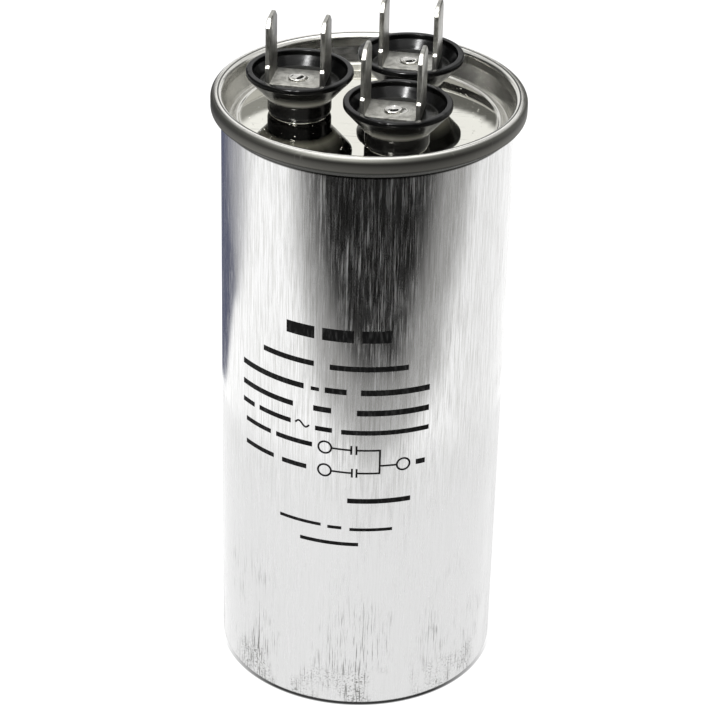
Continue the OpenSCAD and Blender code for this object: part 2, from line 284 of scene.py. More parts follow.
# The ramps paint the contact shadow into the floor's base colour and glow
for socketName, shaded, clear in (("Base Color", "#181818", "#585858"), ("Emission Color", "#303030", "#ffffff")):
    floorShadowTone = addNode(floorBoard, "ValToRGB", {"Fac": lit}, to=surface[socketName])
    colorStops(floorShadowTone, [(0, shaded), (1, clear)])
half = floor["size"] / 2 * mm
corners = [(x, y, cadLow[2]) for x, y in ((-half, -half), (half, -half), (half, half), (-half, half))]
floorPiece = makePiece("floor", corners, [(0, 1, 2, 3)], floorBoard)
floorPiece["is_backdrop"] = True

# Screen: a ring of card around the can that only its gloss sees; a dark stand in front, a blue-grey one at the left
screen = {
    "radius": 95, "height": 175, "columns": 360, "step": 2.5,
    "fine": (136, 153, 0.4),  # from, to and step of the rows whose card edges show sharp in the lid
    "bright": 1.58,
    "cards": [
        # tone, top and edges: each a height, the left and right edge from the front and the softness, in degrees
        ((1.36, 1.36, 1.36), 175, [(0, 70, 200, 25)]),
        ((0.19, 0.19, 0.18), 151.6, [
            (100, 120, 160, 0.8), (136, 120, 160, 0.8), (138, 120, 173, 0.8), (145, 120, 173, 0.8),
            (145.5, 120, 169.5, 0.8), (146.7, 120, 166.2, 0.8), (148.2, 120, 164.6, 0.8), (149.8, 120, 163.1, 0.8),
            (151.6, 120, 161.8, 0.8),
        ]),
        ((0.42, 0.42, 0.4), 150, [
            (138, -173, -140, 0.8), (145.8, -172, -140, 0.8), (146.6, -167.2, -140, 0.8), (148, -165, -140, 0.8),
            (149.6, -163.6, -140, 0.8),
        ]),
        ((0.12, 0.12, 0.12), 175, [(88, -150, -45, 6), (175, -150, -40, 10)]),
        ((0.7, 0.7, 0.73), 95, [
            (28, -190, -109, 5), (33, -190, -106, 7), (38, -190, -103, 8), (42, -190, -100, 10), (60, -190, -97, 12),
        ]),
        ((0.13, 0.14, 0.21), 95, [
            (3, -190, -138, 4), (9, -190, -131, 4), (16, -190, -126, 4), (22, -190, -121, 4), (26, -190, -118, 4),
            (31, -190, -113, 5), (36, -190, -114, 9), (45, -190, -119, 14), (60, -190, -122, 18),
        ]),
        ((0.55, 0.545, 0.535), 142, [
            (2, 2, 14, 5), (4, -4, 22, 6), (8, -12, 38, 6), (13, -27, 45, 7), (20, -34, 60, 8), (30, -39, 60, 10),
            (46, -49, 74, 10), (70, -53, 82, 10), (110, -60, 90, 10),
        ]),
        ((0.007, 0.0066, 0.006), 142, [
            (21, -2, 24, 6), (25, -9, 30, 8), (30, -17, 34, 10), (46, -32, 44, 12), (70, -42, 54, 12),
            (110, -45, 60, 12),
        ]),
    ],
}


def between(edges, height):
    # The left edge, right edge and softness at a height, or nothing below the card's foot
    if height <= edges[0][0]:
        return None if height < edges[0][0] else edges[0][1:]
    for low, high in zip(edges, edges[1:]):
        if height <= high[0]:
            t = (height - low[0]) / (high[0] - low[0])
            return [a + (b - a) * t for a, b in zip(low[1:], high[1:])]
    return edges[-1][1:]


def cover(top, edges, azimuth, height):
    # How much of the screen a card covers at a place, from 0 to 1
    span = between(edges, height)
    if span is None or height > top:
        return 0
    left, right, softness = span
    inside = min(azimuth - left, right - azimuth) / softness  # 0 on the card's edge
    t = max(0, min(1, inside / 2 + 0.5))
    return t * t * (3 - 2 * t)


fineFrom, fineTo, fineStep = screen["fine"]
rowHeights = {screen["step"] * k for k in range(round(screen["height"] / screen["step"]) + 1)}
rowHeights |= {fineFrom + fineStep * k for k in range(round((fineTo - fineFrom) / fineStep) + 1)}
points, faces, tones = [], [], []
for height in sorted(rowHeights):
    for column in range(screen["columns"]):
        azimuth = closestAngle(360 * column / screen["columns"])
        angle = math.radians(azimuth) + front
        points.append(onCircle(screen["radius"], angle, height))
        tone = Vector((screen["bright"],) * 3)
        for cardTone, top, edges in screen["cards"]:
            share = max(cover(top, edges, azimuth + turn, height) for turn in (-360, 0, 360))
            tone = tone.lerp(Vector(cardTone), share)
        tones.append((*tone, 1))
count = screen["columns"]
for row in range(len(rowHeights) - 1):
    for column in range(count):
        this, after = row * count + column, row * count + (column + 1) % count
        faces.append((this, after, after + count, this + count))
screenCard, surface = newMaterial("screenCard", "#000000", 1.0, specular=0)
addNode(screenCard, "Attribute", to=surface["Emission Color"], attribute_name="tone")
surface["Emission Strength"].default_value = 1.0
screenPiece = makePiece("screen", points, faces, screenCard)
toneLayer = screenPiece.data.attributes.new("tone", "FLOAT_COLOR", "POINT")
toneLayer.data.foreach_set("color", [c for tone in tones for c in tone])
for kind in ("camera", "diffuse", "transmission", "shadow", "volume_scatter"):
    setattr(screenPiece, "visible_" + kind, False)
screenPiece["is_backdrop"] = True
print("studio ready")


# Places that materials and shapes share

poles = ("common", "herm", "fan")
sheets = {"can": 0.45, "lid": 0.35, "strip": 0.8}  # thicknesses in millimetres
lidTop = Vector(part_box("lid")[1]) / mm
seamRadius, seamTop = lidTop.x, lidTop.z
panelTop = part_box("common_washer")[1][2] / mm + sheets["lid"]
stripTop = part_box("common_terminal")[0][2] / mm + sheets["strip"]
poleCentres = {}
for pole in poles:
    low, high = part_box(pole + "_cup")
    poleCentres[pole] = ((low[0] + high[0]) / 2 / mm, (low[1] + high[1]) / 2 / mm)


# Materials

def addPatterns(material, rows):
    # Noise with so many grains in a millimetre along X, Y and Z, its detail and roughness; a span makes it a mask
    place = addNode(material, "TexCoord").outputs["Object"]
    made = {}
    for name, (grains, detail, roughness, *span) in rows.items():
        sized = addNode(material, "Mapping", {"Vector": place, "Scale": [grain / mm for grain in grains]})
        made[name] = addNode(material, "TexNoise", {
            "Vector": sized, "Scale": 1, "Detail": detail, "Roughness": roughness,
        })
        if span:
            ends = zip(("From Min", "From Max", "To Min", "To Max"), span[0])
            made[name] = addNode(material, "MapRange", {"Value": made[name], **dict(ends)})
    return made


# Drawn aluminium: the die leaves fine lines along the can, 0.15 to 0.3 mm wide and 6 to 15 mm long, that catch light
aluminium = {"tone": "#cecece", "polished": 0.12, "lined": 0.6, "bump": 0.3, "bumpDepth": 0.012}
drawnAluminium, surface = newMaterial("drawnAluminium", aluminium["tone"], aluminium["polished"], 1.0)
pattern = addPatterns(drawnAluminium, {
    "lines": ((6.5, 6.5, 0.16), 3, 0.6, (0.4, 0.68)),
    "bands": ((1.5, 1.5, 0.07), 3, 0.6, (0.35, 0.65, 0.3, 1)),
    "patches": ((0.3, 0.3, 0.11), 4, 0.65, (0.35, 0.62, 0.3, 1)),
    "upperLines": ((4.2, 4.2, 0.14), 4, 0.65, (0.42, 0.68)),
    "rubs": ((4.2, 4.2, 0.19), 3, 0.6, (0.53, 0.65)),
    "clumps": ((0.15, 0.15, 0.06), 3, 0.6, (0.46, 0.62)),
    "smudges": ((2.6, 2.6, 3.2), 2, 0.5, (0.5, 0.66)),
})
bandLines = addNode(drawnAluminium, "Math", {0: pattern["lines"], 1: pattern["bands"]}, operation="MULTIPLY")
streak = addNode(drawnAluminium, "Math", {0: bandLines, 1: pattern["patches"]}, operation="MULTIPLY")
addNode(drawnAluminium, "MapRange", {
    "Value": streak, "To Min": aluminium["polished"], "To Max": aluminium["lined"],
}, to=surface["Roughness"])
addNode(drawnAluminium, "Bump", {
    "Height": streak, "Strength": aluminium["bump"], "Distance": aluminium["bumpDepth"] * mm,
}, to=surface["Normal"])

# What lies on the bare metal, and painted shade: patterns, the heights in millimetres where it starts and is full,
# least share, tone
marksAndShade = [
    (["upperLines"], 35, 60, 0.12, "#b2b2b0"),  # the lines over the upper part of the can are a little darker
    (["rubs", "clumps"], 32, 8, 0, "#666664"),  # scuffs: thin dark rubs in clumps over the lowest 30 mm
    (["smudges", "clumps"], 8.5, 6, 0, "#7c7c7a"),  # short smudges close to the bottom edge
    ([], 105.52, 105.75, 0, "#3c3c3a"),  # painted shade in the crook under the seam, where the neck lies in shadow
]
spot = addNode(drawnAluminium, "SeparateXYZ", {"Vector": addNode(drawnAluminium, "TexCoord").outputs["Object"]})
tone = hexColor(aluminium["tone"])
for names, start, full, least, color in marksAndShade:
    reached = addNode(drawnAluminium, "MapRange", {
        "Value": spot.outputs["Z"], "From Min": start * mm, "From Max": full * mm, "To Min": least,
    })
    share, *factors = [pattern[name] for name in names] + [reached]
    for factor in factors:
        share = addNode(drawnAluminium, "Math", {0: share, 1: factor}, operation="MULTIPLY")
    tone = addNode(drawnAluminium, "MixRGB", {"Fac": share, "Color1": tone, "Color2": hexColor(color)})
drawnAluminium.node_tree.links.new(tone.outputs["Color"], surface["Base Color"])

# Tinplate: bright tin, near a mirror on the flat panel; the seaming rolls leave it dull and lined around the rim
tin = {
    "panel": "#c8c7bf", "worked": "#c2c1bc", "scratch": "#6e6d69",
    "workedFrom": 21.4, "workedTo": 22.2,  # radius over which the panel turns into pressed and rolled metal
    "linesPerMm": 5.2, "linesAround": 9,  # roll lines 0.2 mm apart, each running a ninth of a radian and more
    "linesFrom": 21.2, "linesTo": 22.8,  # radius over which their relief sets in
    "panelRough": (0.01, 0.045), "rimRough": (0.13, 0.26), "bandRough": 0.58, "bump": 0.2, "bumpDepth": 0.02,
}
tinplate, surface = newMaterial("tinplate", tin["panel"], 0.1, 1.0)
pattern = addPatterns(tinplate, {"grime": ((0.3, 0.3, 0.3), 4, 0.65)})
place = addNode(tinplate, "TexCoord").outputs["Object"]
flat = addNode(tinplate, "VectorMath", {0: place, 1: (1, 1, 0)}, operation="MULTIPLY")
away = addNode(tinplate, "VectorMath", {0: flat}, operation="LENGTH").outputs["Value"]
heading = addNode(tinplate, "VectorMath", {0: flat}, operation="NORMALIZE")
around = addNode(tinplate, "SeparateXYZ", {"Vector": heading})
up = addNode(tinplate, "SeparateXYZ", {"Vector": place}).outputs["Z"]
across = addNode(tinplate, "Math", {0: away, 1: up}, operation="ADD")
fine = addNode(tinplate, "Math", {0: across, 1: tin["linesPerMm"] / mm}, operation="MULTIPLY")
turned = addNode(tinplate, "CombineXYZ", {"X": fine})
for axis, socketName in (("X", "Y"), ("Y", "Z")):
    addNode(tinplate, "Math", {
        0: around.outputs[axis], 1: tin["linesAround"],
    }, to=turned.inputs[socketName], operation="MULTIPLY")
rollLines = addNode(tinplate, "TexNoise", {"Vector": turned, "Scale": 1, "Detail": 4, "Roughness": 0.6})

# Zones by radius (away) or height (up), both in millimetres: where each begins and is full
zones = {
    name: addNode(tinplate, "MapRange", {"Value": along, "From Min": start * mm, "From Max": full * mm})
    for name, along, start, full in (
        ("worked", away, tin["workedFrom"], tin["workedTo"]),
        ("acrossSeam", away, 25.2, 26.8),
        ("crest", up, 108.6, 109.3),
        ("band", away, 26.2, 26.5),
        ("bandHeight", up, 107.0, 109.5),
    )
}
dull = addNode(tinplate, "MixRGB", {
    "Fac": zones["worked"], "Color1": hexColor(tin["panel"]), "Color2": hexColor(tin["worked"]),
})
# Across the seam: a painted shade line at the inner edge, a burnished ridge lightened into a painted highlight, then
# metal scuffed by the rolls
ridgeShadeAndHighlight = addNode(tinplate, "ValToRGB", {"Fac": zones["acrossSeam"]})
colorStops(ridgeShadeAndHighlight, [
    (0.08, tin["worked"]), (0.14, "#3a3a38"), (0.24, "#3a3a38"), (0.32, "#dcdbd6"), (0.5, "#c6c5c1"), (0.76, "#a2a19d"),
])
seamTone = addNode(tinplate, "MixRGB", {"Fac": zones["crest"], "Color1": dull, "Color2": ridgeShadeAndHighlight})
# The seam's outer band, with painted shade darkest in the crook below, where the seam curves under
bandToneAndShade = addNode(tinplate, "ValToRGB", {"Fac": zones["bandHeight"]})
colorStops(bandToneAndShade, [
    (0, "#33332f"), (0.16, "#40403c"), (0.24, "#6c6b66"), (0.55, "#5c5b57"), (0.8, "#3a3936"), (1, "#4a4a46"),
])
tone = addNode(tinplate, "MixRGB", {"Fac": zones["band"], "Color1": seamTone, "Color2": bandToneAndShade})
# Scratches: two sets of fine lines across the panel, 0.2 mm wide and 11 mm long, each in its own patches
for number, angle in enumerate((0.5, -0.95)):
    slanted = addNode(tinplate, "Mapping", {"Vector": place, "Rotation": (0, 0, angle), "Scale": (90, 5200, 90)})
    scratch = addNode(tinplate, "TexNoise", {"Vector": slanted, "Scale": 1, "Detail": 1})
    sized = addNode(tinplate, "Mapping", {"Vector": place, "Scale": (170, 170, 170)})
    patch = addNode(tinplate, "TexNoise", {"Vector": sized, "Scale": 1 + 0.3 * number, "Detail": 2})
    scratchMask = addNode(tinplate, "MapRange", {"Value": scratch, "From Min": 0.66, "From Max": 0.72})
    patchMask = addNode(tinplate, "MapRange", {"Value": patch, "From Min": 0.52, "From Max": 0.6, "To Max": 0.55})
    share = addNode(tinplate, "Math", {0: scratchMask, 1: patchMask}, operation="MULTIPLY")
    tone = addNode(tinplate, "MixRGB", {"Fac": share, "Color1": tone, "Color2": hexColor(tin["scratch"])})
tinplate.node_tree.links.new(tone.outputs["Color"], surface["Base Color"])
grimeShare = addNode(tinplate, "Math", {0: pattern["grime"], 1: rollLines}, operation="MULTIPLY")
tinRough = addNode(tinplate, "Mix", {0: zones["worked"]}, data_type="FLOAT")
for part, value, start, full, (low, high) in (
    (2, pattern["grime"], 0.35, 0.7, tin["panelRough"]), (3, grimeShare, 0.1, 0.4, tin["rimRough"]),
):
    addNode(tinplate, "MapRange", {
        "Value": value, "From Min": start, "From Max": full, "To Min": low, "To Max": high,
    }, to=tinRough.inputs[part])
addNode(tinplate, "Mix", {
    0: zones["band"], 2: tinRough, 3: tin["bandRough"],
}, to=surface["Roughness"], data_type="FLOAT")
linesShare = addNode(tinplate, "MapRange", {
    "Value": away, "From Min": tin["linesFrom"] * mm, "From Max": tin["linesTo"] * mm, "To Min": 0.02, "To Max": 1,
})
tinHeight = addNode(tinplate, "Math", {0: rollLines, 1: linesShare}, operation="MULTIPLY")
addNode(tinplate, "Bump", {
    "Height": tinHeight, "Strength": tin["bump"], "Distance": tin["bumpDepth"] * mm,
}, to=surface["Normal"])

# Plainer finishes: one pattern each, which sets the gloss between two ends and gives the relief
#   mouldedPbt: black, smooth from the mould, with a soft gloss and a faint grain of 2 mm by 0.4 mm
#   tinnedBrass: stamped strip with a thin matt tin coat, faint lines along the blades, 0.3 mm wide and 4 mm long
#   platedSteel: bright, with the tool's scratches of 0.4 mm around the spun end
plainer = {
    # name: tone, metallic, specular level, grains per millimetre, detail, noise roughness, gloss, bump, bump depth
    "mouldedPbt": ("#040404", 0, 0.12, (0.5, 0.5, 2.4), 4, 0.6, (0.12, 0.27), 0.1, 0.02),
    "tinnedBrass": ("#a9a8a3", 1, 0.5, (3, 3, 0.26), 4, 0.65, (0.25, 0.5), 0.2, 0.02),
    "platedSteel": ("#bdbcb8", 1, 0.5, (2.6, 2.6, 2.6), 4, 0.7, (0.12, 0.4), 0.3, 0.03),
}
finishes = {}
for name, (color, metallic, specular, grains, detail, roughness, gloss, bump, depth) in plainer.items():
    material, surface = newMaterial(name, color, gloss[0], metallic, specular)
    grain = addPatterns(material, {"grain": (grains, detail, roughness)})["grain"]
    addNode(material, "MapRange", {
        "Value": grain, "From Min": 0.3, "From Max": 0.7, "To Min": gloss[0], "To Max": gloss[1],
    }, to=surface["Roughness"])
    addNode(material, "Bump", {"Height": grain, "Strength": bump, "Distance": depth * mm}, to=surface["Normal"])
    finishes[name] = (material, surface)

# A painted sheen on the plastic: a lighter band in the crook between the stem and the cone
mouldedPbt, surface = finishes["mouldedPbt"]
# The light tones in crook are a painted sheen, lighter than the black plastic
crook = {"from": 2, "to": 7, "dust": "#6a6964", "thinSheen": "#363633", "clean": "#040404"}  # in mm above the panel
spot = addNode(mouldedPbt, "SeparateXYZ", {"Vector": addNode(mouldedPbt, "TexCoord").outputs["Object"]})
aboveLid = addNode(mouldedPbt, "MapRange", {
    "Value": spot.outputs["Z"], "From Min": (panelTop + crook["from"]) * mm, "From Max": (panelTop + crook["to"]) * mm,
})
sheenColor = addNode(mouldedPbt, "ValToRGB", {"Fac": aboveLid}, to=surface["Base Color"])
colorStops(sheenColor, [
    (0.18, crook["clean"]), (0.34, crook["dust"]), (0.55, crook["thinSheen"]), (0.72, crook["clean"]),
])

# The tin coat varies in patches of 1 mm, and round the rivet the spinning tool has left rings, 0.2 mm apart
tinnedBrass, surface = finishes["tinnedBrass"]
rings = {"tone": "#d2d1cb", "perMm": 5, "from": 2.8, "to": 2.2}
coat = addPatterns(tinnedBrass, {"coat": ((0.9, 0.9, 0.5), 3, 0.6)})["coat"]
coatColor = addNode(tinnedBrass, "ValToRGB", {"Fac": coat})
colorStops(coatColor, [(0.3, "#73726d"), (0.7, "#a6a59f")])
place = addNode(tinnedBrass, "TexCoord").outputs["Object"]
nearest = None
for centre in poleCentres.values():
    away = addNode(tinnedBrass, "VectorMath", {0: place, 1: onCircle(0, 0, stripTop, centre)}, operation="DISTANCE")
    if nearest is None:
        nearest = away.outputs["Value"]
    else:
        nearest = addNode(tinnedBrass, "Math", {0: nearest, 1: away.outputs["Value"]}, operation="MINIMUM")
ringPlace = addNode(tinnedBrass, "Math", {0: nearest, 1: rings["perMm"] / mm}, operation="MULTIPLY")
ringNoise = addNode(tinnedBrass, "TexNoise", {"W": ringPlace, "Scale": 1, "Detail": 2}, noise_dimensions="1D")
reached = addNode(tinnedBrass, "MapRange", {
    "Value": nearest, "From Min": rings["from"] * mm, "From Max": rings["to"] * mm,
})
ringLines = addNode(tinnedBrass, "MapRange", {"Value": ringNoise, "From Min": 0.5, "From Max": 0.62})
ringShare = addNode(tinnedBrass, "Math", {0: reached, 1: ringLines}, operation="MULTIPLY")
addNode(tinnedBrass, "MixRGB", {
    "Fac": ringShare, "Color1": coatColor, "Color2": hexColor(rings["tone"]),
}, to=surface["Base Color"])
platedSteel = finishes["platedSteel"][0]

# Dark finishes: the rivet's bore is painted near black, a painted shade that makes it read as a dark hole;
# printing ink is matt black, a little thin where the metal's lines show through
for name, color, roughness, specular, grains, detail, noiseRoughness, stops in (
    ("boreShade", "#0a0a0a", 0.8, 0.1, (2.5, 2.5, 2.5), 3, 0.5, [(0.4, "#060606"), (0.7, "#1c1c1a")]),
    ("printInk", "#060606", 0.6, 0.06, (2.6, 2.6, 0.5), 4, 0.6, [(0.5, "#050505"), (0.8, "#262626")]),
):
    material, surface = newMaterial(name, color, roughness, 0, specular)
    grain = addPatterns(material, {"grain": (grains, detail, noiseRoughness)})["grain"]
    colorStops(addNode(material, "ValToRGB", {"Fac": grain}, to=surface["Base Color"]), stops)
    finishes[name] = (material, surface)
boreShade = finishes["boreShade"][0]
printInk = finishes["printInk"][0]


# Inner pieces: each is a base colour, a second colour in a grain of a real size, and a matching bump

innerFinishes = [
    # name, light, dark, roughness, metallic, grain size in mm along X, Y and Z, bump, nodes
    ("nitrileRubber", "#262626", "#1a1a1a", 0.75, 0, (0.5, 0.5, 0.5), 0.2, ["seam_compound"]),
    ("pressboard", "#c9ab7c", "#a98857", 0.85, 0, (1.5, 1.5, 0.2), 0.3,
     ["common_washer", "herm_washer", "fan_washer", "liner", "base_pad", "top_pad", "divider"]),
    ("stampedBrass", "#c4a050", "#a8853c", 0.35, 1, (0.3, 2.0, 2.0), 0.1, ["common_lug", "herm_lug", "fan_lug"]),
    ("siliconeSleeve", "#202024", "#141416", 0.6, 0, (0.4, 0.4, 3.0), 0.15, ["common_lead", "herm_lead", "fan_lead"]),
    ("mouldedPolypropylene", "#e8e4d4", "#d8d2be", 0.5, 0, (2.0, 2.0, 2.0), 0.1,
     ["interrupter_plate", "fan_core", "herm_core"]),
    ("metallisedFilm", "#b9bcc4", "#8f939c", 0.25, 1, (0.4, 0.4, 12.0), 0.15, ["fan_winding", "herm_winding"]),
    ("sprayedZinc", "#8a8d90", "#66696c", 0.8, 1, (0.35, 0.35, 0.35), 0.6,
     ["fan_upper_contact", "fan_lower_contact", "herm_upper_contact", "herm_lower_contact"]),
]
for name, light, dark, roughness, metallic, size, bump, nodeNames in innerFinishes:
    material, surface = newMaterial(name, light, roughness, metallic)
    grain = addPatterns(material, {"grain": ([1 / length for length in size], 4, 0.6)})["grain"]
    ramp = addNode(material, "ValToRGB", {"Fac": grain}, to=surface["Base Color"])
    colorStops(ramp, [(0.35, dark), (0.65, light)])
    addNode(material, "Bump", {"Height": grain, "Strength": bump, "Distance": 0.05 * mm}, to=surface["Normal"])
    for nodeName in nodeNames:
        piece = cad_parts[nodeName]
        piece.data.materials.clear()
        piece.data.materials.append(material)
print("materials ready")


# Can and lid

seam = {"height": 3.0, "play": 0.03, "hookGap": 0.25, "hookRound": 0.96, "topBend": 0.75, "lean": 1.1}
can = {"radius": 25, "foot": 1.0, "neckDrop": 0.95, "neckRise": 0.9, "neckBend": 0.6, "turns": 240}
panel = {
    "grooveWidth": 0.75, "grooveDepth": 0.4, "grooveBend": 0.3, "beadWidth": 0.85, "beadHeight": 0.2, "beadBend": 0.3,
    "flatEdge": 0.5,  # a ring so far inside the bead keeps the panel's shading flat up to it
    "holeRadius": 3.5,
}

coverWall = seamRadius - sheets["lid"] / 2
hookStep = sheets["lid"] / 2 + seam["play"] + sheets["can"] / 2
bodyHook = coverWall - hookStep
coverHook = bodyHook - hookStep
bodyWall = coverHook - hookStep
chuckWall = bodyWall - hookStep
seamFoot = seamTop - seam["height"] + sheets["lid"] / 2
hookTop = seamTop - sheets["lid"] - seam["hookGap"] - sheets["can"] / 2
hookBend = seam["hookRound"] * hookStep
wall = can["radius"] - sheets["can"] / 2
neckZ = seamFoot - sheets["lid"] / 2 - can["neckDrop"]
base = cadLow[2] / mm

canOutline = sheetOutline([
    (0, base + sheets["can"] / 2, 0),
    (wall, base + sheets["can"] / 2, can["foot"] - sheets["can"] / 2),
    (wall, neckZ, can["neckBend"]),
    (bodyWall, neckZ + can["neckRise"], can["neckBend"]),
    (bodyWall, hookTop, hookBend),
    (bodyHook, hookTop, hookBend),
    (bodyHook, seamFoot + hookBend + seam["play"], 0),
], sheets["can"])
canShell = revolve("canShell", canOutline, drawnAluminium, turns=can["turns"])
wear(canShell, "can_aluminium", "can")

top = seamTop - sheets["lid"] / 2
middle = panelTop - sheets["lid"] / 2
floorOfGroove = middle - panel["grooveDepth"]
grooveOut = chuckWall - seam["lean"] - 0.1
grooveIn = grooveOut - panel["grooveWidth"]
beadOut = grooveIn - 0.1
beadIn = beadOut - panel["beadWidth"]
lidOutline = sheetOutline([
    (0, middle, 0),
    (beadIn - panel["flatEdge"], middle, 0),
    (beadIn, middle, panel["beadBend"]),
    (beadIn + 0.25, middle + panel["beadHeight"], panel["beadBend"]),
    (beadOut - 0.25, middle + panel["beadHeight"], panel["beadBend"]),
    (grooveIn + 0.25, floorOfGroove, 0.25),
    (grooveOut, floorOfGroove, panel["grooveBend"]),
    (chuckWall, seamFoot + 0.6, 1),
    (chuckWall, top, seam["topBend"]),
    (coverWall, top, seam["topBend"]),
    (coverWall, seamFoot, hookBend),
    (coverHook, seamFoot, hookBend),
    (coverHook, hookTop - hookBend - seam["play"], 0),
], sheets["lid"])
lidShell = revolve("lidShell", lidOutline, tinplate, turns=can["turns"])

holeOutline = [(r, panelTop + z) for r, z in ((0, -2), (panel["holeRadius"], -2), (panel["holeRadius"], 2), (0, 2))]
for pole, centre in poleCentres.items():
    cutter = revolve(pole + "Cutter", holeOutline, tinplate, centre, 48)
    cut = lidShell.modifiers.new("hole", "BOOLEAN")
    cut.object = cutter
    cut.operation = "DIFFERENCE"
    cut.solver = "EXACT"


def applied(piece):
    # Keeps the modifiers' result as a plain mesh
    depsgraph = bpy.context.evaluated_depsgraph_get()
    mesh = bpy.data.meshes.new_from_object(piece.evaluated_get(depsgraph), depsgraph=depsgraph)
    piece.modifiers.clear()
    piece.data = mesh
    return piece


applied(lidShell)
for pole in poles:
    bpy.data.objects.remove(bpy.data.objects[pole + "Cutter"])
lidShell.data.set_sharp_from_angle(angle=math.radians(35))
wear(lidShell, "tinned_lid", "lid")
print("can and lid ready")


# Terminal cups, terminals and rivets

cup = {
    "lip": 9.1, "lipWidth": 1.05, "lipHeight": 0.85, "depth": 2.4, "stem": 5.45, "stemHeight": 2.75,
    "spigot": 3.4, "bore": 1.25,
    "nickDepths": (0.16, 0.12, 0.1), "nickWidth": 2.6,  # gate marks and knocks on the lip, in millimetres and degrees
}
terminal = {
    "span": 10.1, "blade": 6.35, "shoulder": 0.42, "shoulderHeight": 3.5, "bend": 0.65, "chamfer": 1.4, "tip": 0.1,
    "tipBevel": 0.35, "edge": 0.14, "turn": -2.6,
    "offCentre": {"common": -0.8, "herm": -0.28, "fan": -0.15},  # the strips aren't riveted dead centre
}
rivet = {
    "shank": 1.2, "head": 2.64, "headHeight": 0.8, "spun": 1.45, "hollow": 1.02, "height": 0.34, "tongue": 1.0,
    "shift": {"common": (-0.75, -0.4), "herm": (-0.4, -0.4), "fan": (-0.3, -0.3)},
    "turn": {"common": 15, "herm": 63, "fan": 25},
}
collar = {"inner": 0.8, "width": 0.5, "height": 0.14}

